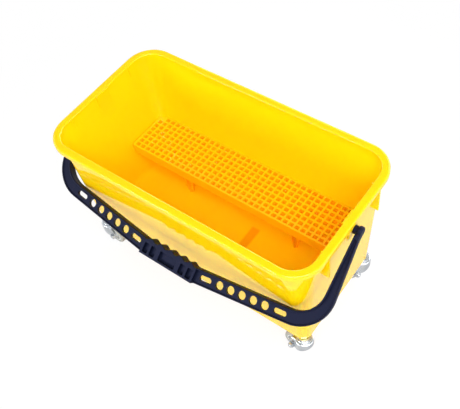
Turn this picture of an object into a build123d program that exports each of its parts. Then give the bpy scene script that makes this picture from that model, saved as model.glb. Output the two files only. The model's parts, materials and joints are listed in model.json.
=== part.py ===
from build123d import *
from math import cos, radians, sin
import os

os.makedirs("parts", exist_ok=True)

# Window cleaning bucket on four swivel castors. Millimetres, +Z up, floor at Z = 0,
# +X along the long side, +Y towards the side that holds the sieve.

# Tub
castor_height = 55.0
tub_height = 250.0
rim_length = 514.0
rim_width = 272.0
rim_corner = 50.0
rim_edge_round = 3.0
mouth_edge_round = 1.2
lip_reach = 10.5
lip_drop = 11.0
wall = 2.7
floor_thickness = 3.0
end_lean = 12.5
side_lean = 21.5
base_corner = 16.0
base_edge_round = 3.0
floor_edge_round = 7.0
end_rib_thickness = 3.0
end_rib_offset = 70.5
end_rib_height = 61.0
strip_width = 17.0
strip_centre = 34.5
strip_back = 37.0
strip_depth = 1.0

# Handle pivots on the end walls
pivot_depth = 25.0
pin_radius = 7.0
pin_running_gap = 0.08
pin_end_gap = 0.6
boss_half_width = 14.0
boss_reach = 9.5
boss_straight = 36.0
boss_height = 68.0

# Handle, laid out flat: s runs along the crossbar and t away from the pivot line
handle_hang_angle = 36.9
handle_wall_gap = 0.8
arm_side_gap = 5.5
arm_top_width = 7.7
arm_flare = 0.084
arm_end_radius = 9.0
bar_width = 27.1
bar_inner_slope = 0.1166
bar_outer_slope = 0.129
bend_inner_radius = 45.0
bend_outer_radius = 60.0
web_half = 3.0
inner_flange_half = 8.0
inner_flange_width = 3.2
outer_flange_half = 4.8
outer_flange_width = 3.2
recess_start = 12.0
hole_radius = 7.2
hole_first = 100.0
hole_pitch = 20.4
hole_count = 5
slot_length = 22.5
slot_height = 9.0
slot_near = 74.0
slot_far = 208.0
grip_half_length = 55.0
grip_half_thickness = 9.5
grip_width = 26.6
grip_ridge_rise = 9.6
grip_valley_rise = 5.5
grip_ridge_pitch = 20.5
grip_ridges = 5
pocket_inset = 4.2
pocket_width = 16.5
pocket_spans = ((0.0, 34.0), (30.75, 10.5), (45.5, 10.0))

# Sieve
sieve_height = 95.3
sieve_shift = -3.0
sieve_rest_gap = 0.2
sieve_back_gap = 0.6
sieve_end_gap = 6.4
sieve_depth = 89.4
sieve_plate = 12.0
sieve_skirt = 22.0
sieve_skirt_wall = 2.5
sieve_back_corner = 18.0
sieve_front_corner = 3.0
sieve_inner_corner = 0.5
mesh_hole_x = 8.4
mesh_hole_y = 7.2
mesh_bar_x = 3.5
mesh_bar_y = 3.6
mesh_front_margin = 3.6
mesh_back_margin = 2.6
mesh_end_margin = 4.8
leg_offset_x = 120.0
leg_front = 23.0
leg_spread = 46.0
leg_blade = 2.5
leg_top_width = 26.0
leg_foot_width = 8.0
leg_knee_width = 18.0
leg_knee_height = 30.0

# Castors
castor_inset = 10.0
castor_trail = 16.5
wheel_diameter = 42.0
tyre_width = 19.0
tyre_depth = 5.5
tyre_shoulder = 2.5
hub_rim_width = 17.0
hub_rim_depth = 2.5
hub_web_width = 7.0
hub_boss_radius = 8.0
axle_radius = 3.5
axle_running_gap = 0.05
hub_side_gap = 0.4
fork_gap = 23.0
fork_sheet = 2.0
fork_hood_radius = 16.5
fork_hood_drop = 13.0
fork_shoulder_round = 3.0
fork_ear_radius = 7.5
wheel_top_gap = 1.6
kingpin_radius = 4.0
kingpin_running_gap = 0.05
rivet_radius = 6.0
rivet_height = 1.6
rivet_gap = 0.3
washer_radius = 11.0
washer_thickness = 2.0
washer_gap = 0.2
cup_radius = 13.4
cup_lip = 1.6
cup_plate = 2.4
cup_gap = 0.4
collar_radius = 11.5
stem_radius = 4.5
stem_length = 26.0
socket_wall = 3.2
socket_end_gap = 1.0
hex_flats = 10.0
hex_height = 4.0
nut_height = 5.0
axle_end = 2.0
leg_hole_gap = 0.05

# Corner name: side along X, side along Y, direction the castor points in degrees
corners = {
    "front_right": (1, -1, -7.0),
    "front_left": (-1, -1, 175.0),
    "back_right": (1, 1, 62.0),
    "back_left": (-1, 1, 205.0),
}

base_z = castor_height
floor_z = base_z + floor_thickness
rim_z = base_z + tub_height
pivot_z = rim_z - pivot_depth


def tub_size(z, inset):
    """Half length, half width and corner radius of the tub wall at height z."""
    rise = (z - base_z) / tub_height
    half_length = rim_length / 2 - lip_reach - end_lean * (1 - rise) - inset
    half_width = rim_width / 2 - lip_reach - side_lean * (1 - rise) - inset
    top_corner = rim_corner - lip_reach
    corner = base_corner + (top_corner - base_corner) * rise - inset
    return half_length, half_width, corner


def tub_section(z, inset):
    half_length, half_width, corner = tub_size(z, inset)
    return Pos(0, 0, z) * RectangleRounded(2 * half_length, 2 * half_width, corner)


def slab(x_from, x_to, y_from, y_to, z_from, z_to):
    """Box between two opposite corners."""
    box = Box(x_to - x_from, y_to - y_from, z_to - z_from)
    return Pos((x_from + x_to) / 2, (y_from + y_to) / 2, (z_from + z_to) / 2) * box


def rod(radius, z_from, z_to):
    """Upright cylinder between two heights."""
    return Pos(0, 0, (z_from + z_to) / 2) * Cylinder(radius, z_to - z_from)


def side_prism(points, y_from, y_to):
    """Outline in the XZ plane carried along Y."""
    face = make_face(Polyline([(x, 0, z) for x, z in points], close=True))
    return Pos(0, y_to, 0) * extrude(face, y_to - y_from, dir=(0, -1, 0))


def end_prism(points, x_from, x_to):
    """Outline in the YZ plane carried along X."""
    face = make_face(Polyline([(0, y, z) for y, z in points], close=True))
    return Pos(x_from, 0, 0) * extrude(face, x_to - x_from, dir=(1, 0, 0))


def turned(points):
    """Closed outline of (radius, height) points turned about Z."""
    face = make_face(Polyline([(r, 0, z) for r, z in points], close=True))
    return revolve(face, Axis.Z)


# Tub: leaning walls, turned-down rim, end ribs, pivot bosses and castor sockets

outer = loft([tub_section(base_z, 0), tub_section(rim_z, 0)], ruled=True)
outer = fillet(outer.faces().sort_by(Axis.Z)[0].edges(), base_edge_round)
inner = loft([tub_section(floor_z, wall), tub_section(rim_z + lip_drop, wall)], ruled=True)
inner = fillet(inner.faces().sort_by(Axis.Z)[0].edges(), floor_edge_round)

rim = extrude(RectangleRounded(rim_length, rim_width, rim_corner), lip_drop)
rim = fillet(rim.faces().sort_by(Axis.Z)[-1].edges(), rim_edge_round)
channel = RectangleRounded(rim_length - 2 * wall, rim_width - 2 * wall, rim_corner - wall)
rim -= extrude(channel, lip_drop - wall)
rim = Pos(0, 0, rim_z - lip_drop) * rim

wall_at_pivot = tub_size(pivot_z, 0)[0]
boss_face = wall_at_pivot + boss_reach
boss_foot = tub_size(rim_z - boss_height, 0)[0]
boss_outline = [
    (-boss_half_width, rim_z - wall),
    (boss_half_width, rim_z - wall),
    (boss_half_width, rim_z - boss_straight),
    (0, rim_z - boss_height),
    (-boss_half_width, rim_z - boss_straight),
]
boss_profile = [
    (boss_foot - wall / 2, rim_z - wall),
    (boss_face, rim_z - wall),
    (boss_face, rim_z - boss_straight),
    (boss_foot, rim_z - boss_height),
    (boss_foot - wall / 2, rim_z - boss_height),
]
boss = end_prism(boss_outline, boss_foot - wall, boss_face)
boss &= side_prism(boss_profile, -boss_half_width, boss_half_width)
pin_tip = wall_at_pivot + pin_end_gap
socket_radius = pin_radius + pin_running_gap
pin_socket = Pos((pin_tip - pin_end_gap + boss_face) / 2, 0, pivot_z) * Rot(0, 90, 0) * Cylinder(
    socket_radius, boss_face - pin_tip + pin_end_gap
)

tub = outer + rim
rib_inner = tub_size(rim_z - end_rib_height, wall / 2)[0]
for end in (0, 180):
    turn = Rot(0, 0, end)
    tub += turn * boss
    for side in (-1, 1):
        rib_y = side * end_rib_offset
        rib = slab(
            rib_inner,
            rim_length / 2,
            rib_y - end_rib_thickness / 2,
            rib_y + end_rib_thickness / 2,
            rim_z - end_rib_height,
            rim_z - wall,
        )
        tub += turn * rib
tub -= inner
for end in (0, 180):
    tub -= Rot(0, 0, end) * pin_socket
mouth = [e for e in tub.faces().sort_by(Axis.Z)[-1].inner_wires()[0].edges()]
tub = fillet(mouth, mouth_edge_round)

socket_top = base_z + stem_length + socket_end_gap + socket_wall
castor_offset_x = tub_size(base_z, castor_inset)[0]
castor_offset_y = tub_size(base_z, castor_inset)[1]
for side_x, side_y, heading in corners.values():
    place = Pos(side_x * castor_offset_x, side_y * castor_offset_y, 0)
    tub += (place * rod(stem_radius + socket_wall, base_z, socket_top)) & outer
    tub -= place * rod(stem_radius, base_z - wall, socket_top - socket_wall)
strip_front = -tub_size(floor_z, wall + floor_edge_round)[1]
tub -= slab(
    strip_centre - strip_width / 2,
    strip_centre + strip_width / 2,
    strip_front,
    strip_back,
    floor_z - strip_depth,
    floor_z + wall,
)
export_step(tub, "parts/tub.step")

# Handle: bail of H section with a pierced crossbar, a ridged grip and two pins

arm_inner = boss_face + arm_side_gap
hang_cos = cos(radians(handle_hang_angle))
hang_sin = sin(radians(handle_hang_angle))
side_slope = side_lean / tub_height
touch_reach = (
    tub_size(pivot_z, 0)[1]
    + handle_wall_gap
    + inner_flange_half * (hang_sin - side_slope * hang_cos)
) / (hang_cos + side_slope * hang_sin)
touch_length, touch_width, touch_corner = tub_size(pivot_z - touch_reach * hang_sin, 0)
bar_inner_reach = touch_reach + bar_inner_slope * (touch_length - touch_corner)
bar_outer_reach = bar_inner_reach + bar_width
grip_ridge_reach = bar_inner_reach - grip_ridge_rise
grip_valley_reach = bar_inner_reach - grip_valley_rise
grip_outer_reach = grip_valley_reach + grip_width
pocket_top = grip_outer_reach - pocket_inset - pocket_width
pocket_bottom = grip_outer_reach - pocket_inset


def bar_inner(s):
    return bar_inner_reach - bar_inner_slope * s


def bar_outer(s):
    return bar_outer_reach - bar_outer_slope * s


def bail_half(start, inset_inner, inset_outer):
    """Right half of the flat bail outline, drawn in from both edges."""
    inside = arm_inner + inset_inner
    outside = arm_inner + arm_top_width - inset_outer
    inner_bend = (inside, -bar_inner(inside) - inset_inner)
    bend_s = (outside + arm_flare * (bar_outer_reach - inset_outer)) / (1 + arm_flare * bar_outer_slope)
    outer_bend = (bend_s, -bar_outer(bend_s) + inset_outer)
    outline = make_face(
        Polyline(
            (0, -bar_inner(0) - inset_inner),
            inner_bend,
            (inside, -start),
            (outside + arm_flare * start, -start),
            outer_bend,
            (0, -bar_outer(0) + inset_outer),
            close=True,
        )
    )
    outline = fillet(outline.vertices().sort_by_distance(inner_bend)[0], bend_inner_radius + inset_inner)
    return fillet(outline.vertices().sort_by_distance(outer_bend)[0], bend_outer_radius - inset_outer)


def bail(start, inset_inner, inset_outer):
    half = bail_half(start, inset_inner, inset_outer)
    return half + mirror(half, Plane.YZ)


def layer(face, z_from, z_to):
    """Flat outline carried between two distances above and below the handle's mid plane."""
    upper = extrude(Pos(0, 0, z_from) * face, z_to - z_from)
    return upper + mirror(upper, Plane.XY)


inner_bead = bail(0, 0, 0)
handle = extrude(inner_bead, inner_flange_half, both=True)
handle -= layer(bail(recess_start, inner_flange_width, -outer_flange_width), outer_flange_half, arm_end_radius)
handle -= layer(bail(recess_start, inner_flange_width, outer_flange_width), web_half, arm_end_radius)

grip_block = []
ridge_end = (grip_ridges - 1) / 2 * grip_ridge_pitch
for step in range(2 * grip_ridges + 1):
    along = -ridge_end + (step - 1) * grip_ridge_pitch / 2
    reach = grip_valley_reach if step % 2 == 0 else grip_ridge_reach
    grip_block.append((along, -reach))
grip_start = (-grip_half_length, -grip_valley_reach)
grip_stop = (grip_half_length, -grip_valley_reach)
wave = Spline(grip_block)
grip_edge = (
    Line(grip_start, grip_block[0])
    + wave
    + Line(grip_block[-1], grip_stop)
    + Polyline(
        grip_stop,
        (grip_half_length, -grip_outer_reach),
        (-grip_half_length, -grip_outer_reach),
        grip_start,
    )
)
grip = extrude(make_face(grip_edge), grip_half_thickness, both=True)
clear_bar = slab(
    -grip_half_length,
    grip_half_length,
    -bar_outer_reach,
    -grip_ridge_reach + inner_flange_width,
    -arm_end_radius,
    arm_end_radius,
)
handle = (handle - clear_bar) + grip

pocket_y = -(pocket_top + pocket_bottom) / 2
pockets = Sketch()
for centre, width in pocket_spans:
    for side in (-1, 1):
        pockets += Pos(side * centre, pocket_y) * Rectangle(width, pocket_bottom - pocket_top)
handle -= layer(pockets, web_half, grip_half_thickness + web_half)


def bar_place(s):
    """Place on the crossbar's centre line, turned along it."""
    slope = (bar_inner_slope + bar_outer_slope) / 2
    centre = (bar_inner(abs(s)) + bar_outer(abs(s))) / 2
    tilt = 1 if s > 0 else -1
    return Pos(s, -centre) * Plane(origin=(0, 0, 0), x_dir=(1, tilt * slope, 0)).location


piercings = Sketch()
for side in (-1, 1):
    for index in range(hole_count):
        piercings += bar_place(side * (hole_first + index * hole_pitch)) * Circle(hole_radius)
    for centre in (slot_near, slot_far):
        slot = SlotOverall(slot_length, slot_height)
        piercings += bar_place(side * centre) * slot
handle -= extrude(piercings, inner_flange_half, both=True)

for side in (-1, 1):
    end_width = arm_top_width + arm_flare * arm_end_radius
    end_centre = side * (arm_inner + end_width / 2)
    handle += Pos(end_centre, 0, 0) * Rot(0, 90, 0) * Cylinder(arm_end_radius, end_width)
    pin_length = arm_inner - pin_tip + arm_top_width / 2
    pin_centre = side * (pin_tip + pin_length / 2)
    handle += Pos(pin_centre, 0, 0) * Rot(0, 90, 0) * Cylinder(pin_radius, pin_length)
handle = Pos(0, 0, pivot_z) * Rot(handle_hang_angle, 0, 0) * handle
export_step(handle, "parts/handle.step")

# Sieve: perforated shelf with a skirt, standing on four legs, loose along X in the tub

sieve_foot = floor_z + sieve_rest_gap
sieve_top = floor_z + sieve_height
sieve_half = tub_size(sieve_top, wall)[0] - sieve_end_gap
sieve_back = tub_size(sieve_top, wall)[1] - sieve_back_gap
sieve_front = sieve_back - sieve_depth
skirt_foot = sieve_top - sieve_skirt


def sieve_outline(z, inset):
    """Sieve outline at height z, its back following the tub wall."""
    back = tub_size(z, wall)[1] - sieve_back_gap - inset
    half = tub_size(z, wall)[0] - sieve_end_gap - inset
    front = sieve_front + inset
    face = Pos(0, (front + back) / 2) * Rectangle(2 * half, back - front)
    rear = face.vertices().group_by(Axis.Y)[-1]
    face = fillet(rear, sieve_back_corner - inset)
    fore = face.vertices().group_by(Axis.Y)[0]
    face = fillet(fore, max(sieve_front_corner - inset, sieve_inner_corner))
    return Pos(0, 0, z) * face


sieve = loft([sieve_outline(skirt_foot, 0), sieve_outline(sieve_top, 0)], ruled=True)
plate_foot = sieve_top - sieve_plate
sieve -= loft(
    [
        sieve_outline(skirt_foot, sieve_skirt_wall),
        sieve_outline(plate_foot, sieve_skirt_wall),
    ],
    ruled=True,
)
mesh_pitch_x = mesh_hole_x + mesh_bar_x
mesh_pitch_y = mesh_hole_y + mesh_bar_y
mesh_columns = int((2 * (sieve_half - mesh_end_margin) + mesh_bar_x) / mesh_pitch_x)
mesh_rows = int((sieve_depth - mesh_front_margin - mesh_back_margin + mesh_bar_y) / mesh_pitch_y)
mesh_half_x = (mesh_columns - 1) / 2 * mesh_pitch_x
mesh_first_y = sieve_front + mesh_front_margin + mesh_hole_y / 2
corner_x = sieve_half - sieve_back_corner
corner_y = sieve_back - sieve_back_corner
mesh = Sketch()
for column in range(mesh_columns):
    for row in range(mesh_rows):
        x = -mesh_half_x + column * mesh_pitch_x
        y = mesh_first_y + row * mesh_pitch_y
        over_x = abs(x) + mesh_hole_x / 2 - corner_x
        over_y = y + mesh_hole_y / 2 - corner_y
        reach = (max(over_x, 0) ** 2 + max(over_y, 0) ** 2) ** 0.5
        if reach < sieve_back_corner - sieve_skirt_wall:
            mesh += Pos(x, y) * Rectangle(mesh_hole_x, mesh_hole_y)
sieve -= extrude(Pos(0, 0, plate_foot) * mesh, sieve_plate)

leg_outline = [
    (-leg_foot_width / 2, sieve_foot),
    (leg_foot_width / 2, sieve_foot),
    (leg_knee_width / 2, floor_z + leg_knee_height),
    (leg_top_width / 2, plate_foot),
    (-leg_top_width / 2, plate_foot),
    (-leg_knee_width / 2, floor_z + leg_knee_height),
]
blade = side_prism(leg_outline, -leg_blade / 2, leg_blade / 2)
leg = blade + Rot(0, 0, 90) * blade
for side in (-1, 1):
    for row in (0, 1):
        leg_y = sieve_front + leg_front + row * leg_spread
        sieve += Pos(side * leg_offset_x, leg_y, 0) * leg
sieve = Pos(sieve_shift, 0, 0) * sieve
export_step(sieve, "parts/sieve.step")

# Castors: built once about their own swivel axis, then set at each corner

axle_z = wheel_diameter / 2
wheel_top = wheel_diameter
crown_foot = wheel_top + wheel_top_gap
crown_top = crown_foot + fork_sheet
washer_top = crown_top + washer_thickness
cup_foot = washer_top + washer_gap
cup_top = cup_foot + cup_plate
leg_out = fork_gap / 2 + fork_sheet
fork_tail = castor_trail + fork_ear_radius


def fork_plan(inset, tail):
    hood = Circle(fork_hood_radius - inset)
    return hood + Pos(-tail / 2, 0) * Rectangle(tail, 2 * (leg_out - inset))


ear = Pos(-castor_trail, axle_z) * Circle(fork_ear_radius)
hood_foot = crown_top - fork_hood_drop
hood_side = Pos((fork_hood_radius - castor_trail) / 2, (crown_top + hood_foot) / 2) * Rectangle(
    fork_hood_radius + castor_trail, crown_top - hood_foot
)
fork_side = make_hull((ear + hood_side).edges())
fork = extrude(fork_plan(0, fork_tail), crown_top)
fork = fillet(fork.faces().sort_by(Axis.Z)[-1].edges(), fork_shoulder_round)
fork &= Rot(90, 0, 0) * extrude(fork_side, fork_hood_radius, both=True)
fork -= extrude(fork_plan(fork_sheet, 2 * fork_tail), crown_foot)
fork -= rod(kingpin_radius + kingpin_running_gap, crown_foot, crown_top)


def across(radius, half_length):
    """Cylinder on the wheel axle, centred on the wheel."""
    return Pos(-castor_trail, 0, axle_z) * Rot(90, 0, 0) * Cylinder(radius, 2 * half_length)


fork -= across(axle_radius + leg_hole_gap, leg_out)

stem = turned(
    [
        (0, crown_foot - rivet_gap - rivet_height),
        (rivet_radius, crown_foot - rivet_gap - rivet_height),
        (rivet_radius, crown_foot - rivet_gap),
        (kingpin_radius, crown_foot - rivet_gap),
        (kingpin_radius, cup_top),
        (collar_radius, cup_top),
        (collar_radius, base_z),
        (stem_radius, base_z),
        (stem_radius, base_z + stem_length),
        (0, base_z + stem_length),
    ]
)
cup = turned(
    [
        (kingpin_radius, cup_foot),
        (cup_radius - cup_lip, cup_foot),
        (cup_radius - cup_lip, crown_top + cup_gap),
        (cup_radius, crown_top + cup_gap),
        (cup_radius, cup_top),
        (kingpin_radius, cup_top),
    ]
)
washer = rod(washer_radius, crown_top, washer_top)
washer -= rod(kingpin_radius + kingpin_running_gap, crown_top, washer_top)

hex_head = extrude(RegularPolygon(hex_flats / 2, 6, major_radius=False), hex_height)
nut_block = extrude(RegularPolygon(hex_flats / 2, 6, major_radius=False), nut_height)
to_left = Pos(-castor_trail, leg_out, axle_z) * Rot(-90, 0, 0)
to_right = Pos(-castor_trail, -leg_out, axle_z) * Rot(90, 0, 0)
shank_length = 2 * leg_out + nut_height + axle_end
bolt = to_left * (hex_head + rod(axle_radius, -shank_length, 0))
nut = to_right * (nut_block - rod(axle_radius, 0, nut_height))

hub_radius = wheel_diameter / 2 - tyre_depth
hub_half = fork_gap / 2 - hub_side_gap
hub_outline = [
    (axle_radius + axle_running_gap, -hub_half),
    (hub_boss_radius, -hub_half),
    (hub_boss_radius, -hub_web_width / 2),
    (hub_radius - hub_rim_depth, -hub_web_width / 2),
    (hub_radius - hub_rim_depth, -hub_rim_width / 2),
    (hub_radius, -hub_rim_width / 2),
]
hub_outline += [(r, -z) for r, z in reversed(hub_outline)]
tyre_outline = [
    (hub_radius, -hub_rim_width / 2),
    (wheel_diameter / 2 - tyre_shoulder, -tyre_width / 2),
    (wheel_diameter / 2, -tyre_width / 2 + tyre_shoulder),
]
tyre_outline += [(r, -z) for r, z in reversed(tyre_outline)]
on_axle = Pos(-castor_trail, 0, axle_z) * Rot(90, 0, 0)
hub = on_axle * turned(hub_outline)
tyre = on_axle * turned(tyre_outline)

castor = {
    "stem": stem,
    "cup": cup,
    "washer": washer,
    "fork": fork,
    "axle_bolt": bolt,
    "axle_nut": nut,
    "wheel_hub": hub,
    "tyre": tyre,
}
for corner, (side_x, side_y, heading) in corners.items():
    place = Pos(side_x * castor_offset_x, side_y * castor_offset_y, 0) * Rot(0, 0, heading)
    for piece, shape in castor.items():
        export_step(place * shape, f"parts/{corner}_{piece}.step")
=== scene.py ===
import json
from math import atan2, cos, pi, radians, sin, tan

import bmesh
import bpy
from mathutils import Matrix, Vector

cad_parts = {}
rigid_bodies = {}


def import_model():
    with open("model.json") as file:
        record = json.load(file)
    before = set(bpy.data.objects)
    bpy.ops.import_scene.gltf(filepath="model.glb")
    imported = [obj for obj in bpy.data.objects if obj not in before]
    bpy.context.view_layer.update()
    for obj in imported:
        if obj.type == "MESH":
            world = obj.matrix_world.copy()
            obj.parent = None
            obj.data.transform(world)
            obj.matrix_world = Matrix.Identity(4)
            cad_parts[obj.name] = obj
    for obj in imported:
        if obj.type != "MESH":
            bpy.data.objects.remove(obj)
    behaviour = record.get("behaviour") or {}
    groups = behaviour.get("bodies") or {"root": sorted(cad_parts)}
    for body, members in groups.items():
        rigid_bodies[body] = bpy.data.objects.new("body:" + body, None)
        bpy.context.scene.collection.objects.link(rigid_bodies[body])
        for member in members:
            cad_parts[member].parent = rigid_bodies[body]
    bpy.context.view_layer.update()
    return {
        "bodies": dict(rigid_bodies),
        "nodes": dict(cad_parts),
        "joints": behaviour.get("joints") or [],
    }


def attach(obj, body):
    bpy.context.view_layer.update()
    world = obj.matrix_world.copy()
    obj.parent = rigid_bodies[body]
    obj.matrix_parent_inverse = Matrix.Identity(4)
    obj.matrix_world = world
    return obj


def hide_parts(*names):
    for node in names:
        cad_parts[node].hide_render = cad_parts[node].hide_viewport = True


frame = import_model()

scene = bpy.context.scene
scene.view_settings.view_transform = "Standard"
scene.cycles.max_bounces = 32
scene.cycles.diffuse_bounces = 28

# Sizes of the tub in millimetres, as the solids have them
MM = 0.001
BASE_Z, FLOOR_Z, RIM_Z, PIVOT_Z = 55.0, 58.0, 305.0, 280.0
WALL = 2.7
RIM_HALF_X, RIM_HALF_Y, RIM_CORNER = 257.0, 136.0, 50.0
LIP_REACH, LIP_DROP = 10.5, 11.0
END_LEAN, SIDE_LEAN, BASE_CORNER = 12.5, 21.5, 16.0
STRIP_LEFT, STRIP_RIGHT, STRIP_FRONT, STRIP_BACK = 26.0, 43.0, -94.0, 37.0
STRIP_DEPTH, STRIP_SLOPE = 1.0, 2.0

# Steps of a rounded corner, and the angles in degrees past which an edge stays sharp
CORNER_STEPS = 14
SMOOTH_ANGLE, PRESSING_ANGLE = 32, 25


# Mesh helpers


def link(name, data):
    obj = bpy.data.objects.new(name, data)
    scene.collection.objects.link(obj)
    return obj


def tidy(obj):
    """Merge doubles and turn the faces of a closed shell outwards."""
    bm = bmesh.new()
    bm.from_mesh(obj.data)
    bmesh.ops.remove_doubles(bm, verts=bm.verts, dist=1e-6)
    bmesh.ops.dissolve_degenerate(bm, edges=bm.edges, dist=1e-7)
    bmesh.ops.recalc_face_normals(bm, faces=bm.faces)
    bm.to_mesh(obj.data)
    bm.free()
    return obj


def shell(name, points, faces):
    """Closed shell from points in millimetres, its faces turned outwards."""
    mesh = bpy.data.meshes.new(name)
    mesh.from_pydata([Vector(p) * MM for p in points], [], faces)
    return tidy(link(name, mesh))


def evaluated_mesh(obj):
    """Plain mesh of what an object's curve or modifiers give."""
    graph = bpy.context.evaluated_depsgraph_get()
    return bpy.data.meshes.new_from_object(obj.evaluated_get(graph))


def freeze(obj):
    """Make what the modifiers give the object's own plain mesh."""
    mesh = evaluated_mesh(obj)
    obj.modifiers.clear()
    obj.data = mesh
    return obj


def combine(base, tool, operation="UNION"):
    """Union, difference or intersection with a second closed shell, which is used up."""
    step = base.modifiers.new("combine", "BOOLEAN")
    step.operation = operation
    step.solver = "MANIFOLD"
    step.object = tool
    freeze(base)
    bpy.data.objects.remove(tool)
    return base


def join(name, shells):
    """One object from several shells."""
    bm = bmesh.new()
    for obj in shells:
        bm.from_mesh(obj.data)
        bpy.data.objects.remove(obj)
    mesh = bpy.data.meshes.new(name)
    bm.to_mesh(mesh)
    bm.free()
    return link(name, mesh)


def bevel(obj, width, steps=2, angle=40):
    """Round the edges that are sharper than an angle."""
    edge = obj.modifiers.new("edge", "BEVEL")
    edge.width = width * MM
    edge.segments = steps
    edge.limit_method = "ANGLE"
    edge.angle_limit = radians(angle)
    edge.use_clamp_overlap = True
    return freeze(obj)


def place(obj, matrix):
    obj.data.transform(matrix)
    return obj


def mm_at(x, y, z, turn=0.0):
    """Place in millimetres, turned about Z."""
    return Matrix.Translation(Vector((x, y, z)) * MM) @ Matrix.Rotation(turn, 4, "Z")


def settle(obj, body, slot, material, *nodes, angle=SMOOTH_ANGLE):
    """Smooth, paint and hand a finished piece to the body that it rides on."""
    mesh = obj.data
    mesh.materials.clear()
    mesh.materials.append(material)
    mesh.polygons.foreach_set("material_index", [0] * len(mesh.polygons))
    mesh.polygons.foreach_set("use_smooth", [True] * len(mesh.polygons))
    mesh.set_sharp_from_angle(angle=radians(angle))
    weighted = obj.modifiers.new("weighted", "WEIGHTED_NORMAL")
    weighted.keep_sharp = True
    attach(obj, body)
    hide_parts(*nodes)
    return obj


def rounded(half_x, low_y, high_y, front_corner, back_corner, steps=CORNER_STEPS):
    """Anticlockwise rounded rectangle with its own radius at the front and back corners."""
    points = []
    for side_x, side_y, first in ((1, 1, 0), (-1, 1, 90), (-1, -1, 180), (1, -1, 270)):
        radius = back_corner if side_y > 0 else front_corner
        middle_x = side_x * (half_x - radius)
        middle_y = high_y - radius if side_y > 0 else low_y + radius
        for step in range(steps + 1):
            a = radians(first + 90 * step / steps)
            points.append((middle_x + radius * cos(a), middle_y + radius * sin(a)))
    return points


def raised(outline, z):
    """Flat outline at a height."""
    return [(x, y, z) for x, y in outline]


def quarter(steps):
    """Angles from 0 to 90 degrees."""
    return [radians(90 * step / steps) for step in range(steps + 1)]


def lofted(name, rings, closed=False, open_ring=False, first_cap=True):
    """Shell through rings of equal count; the ends are capped unless the run closes on itself."""
    count = len(rings[0])
    points = [p for ring in rings for p in ring]
    faces = []
    for row in range(len(rings) if closed else len(rings) - 1):
        here = row * count
        there = (row + 1) % len(rings) * count
        for i in range(count - 1 if open_ring else count):
            j = (i + 1) % count
            faces.append((here + i, here + j, there + j, there + i))
    if not closed:
        faces.append(tuple(range(len(points) - count, len(points))))
    if first_cap and not closed:
        faces.append(tuple(range(count)))
    return shell(name, points, faces)


def box(name, low, high):
    (x0, y0, z0), (x1, y1, z1) = low, high
    outline = [(x0, y0), (x1, y0), (x1, y1), (x0, y1)]
    return lofted(name, [raised(outline, z0), raised(outline, z1)])


def hull(name, points):
    """Convex solid round points in millimetres."""
    mesh = bpy.data.meshes.new(name)
    bm = bmesh.new()
    for p in points:
        bm.verts.new(Vector(p) * MM)
    bmesh.ops.convex_hull(bm, input=bm.verts)
    bmesh.ops.dissolve_limit(bm, angle_limit=radians(1), verts=bm.verts, edges=bm.edges)
    bmesh.ops.recalc_face_normals(bm, faces=bm.faces)
    bm.to_mesh(mesh)
    bm.free()
    return link(name, mesh)


def filled(name, outlines, half=0.0, edge=0.0):
    """Face inside the first outline, with the later ones as holes; with half and edge given,
    a plate of that half thickness and edge rounding."""
    curve = bpy.data.curves.new(name, "CURVE")
    curve.dimensions = "2D"
    curve.fill_mode = "BOTH"
    curve.extrude = (half - edge) * MM
    curve.bevel_depth = edge * MM
    curve.bevel_resolution = 2
    curve.offset = -edge * MM
    for outline in outlines:
        spline = curve.splines.new("POLY")
        spline.points.add(len(outline) - 1)
        for point, (x, y) in zip(spline.points, outline):
            point.co = (x * MM, y * MM, 0, 1)
        spline.use_cyclic_u = True
    source = link(name, curve)
    mesh = evaluated_mesh(source)
    bpy.data.objects.remove(source)
    return link(name, mesh)


def soften(points, radius, steps=3):
    """Closed outline of (radius, height) points with its corners off the axis rounded."""
    out = []
    for i, corner in enumerate(points):
        before = Vector(points[i - 1])
        after = Vector(points[(i + 1) % len(points)])
        here = Vector(corner)
        if corner[0] < 1e-6:
            out.append(corner)
            continue
        reach = min(radius, (before - here).length * 0.45, (after - here).length * 0.45)
        start = here + (before - here).normalized() * reach
        stop = here + (after - here).normalized() * reach
        for step in range(steps + 1):
            t = step / steps
            p = start * (1 - t) ** 2 + here * 2 * t * (1 - t) + stop * t ** 2
            out.append((p.x, p.y))
    return out


def lathe(name, outline, steps=48):
    """Outline of (radius, height) points turned about Z, open where it starts on the axis."""
    rings = []
    for step in range(steps):
        a = 2 * pi * step / steps
        rings.append([(r * cos(a), r * sin(a), h) for r, h in outline])
    return lofted(name, rings, closed=True, open_ring=outline[0][0] == 0)


def rod(radius, low, high):
    """Outline of a plain cylinder."""
    return [(0, low), (radius, low), (radius, high), (0, high)]


def cylinder(name, radius, low, high):
    return lathe(name, rod(radius, low, high), steps=40)


# Shader and geometry trees


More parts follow.
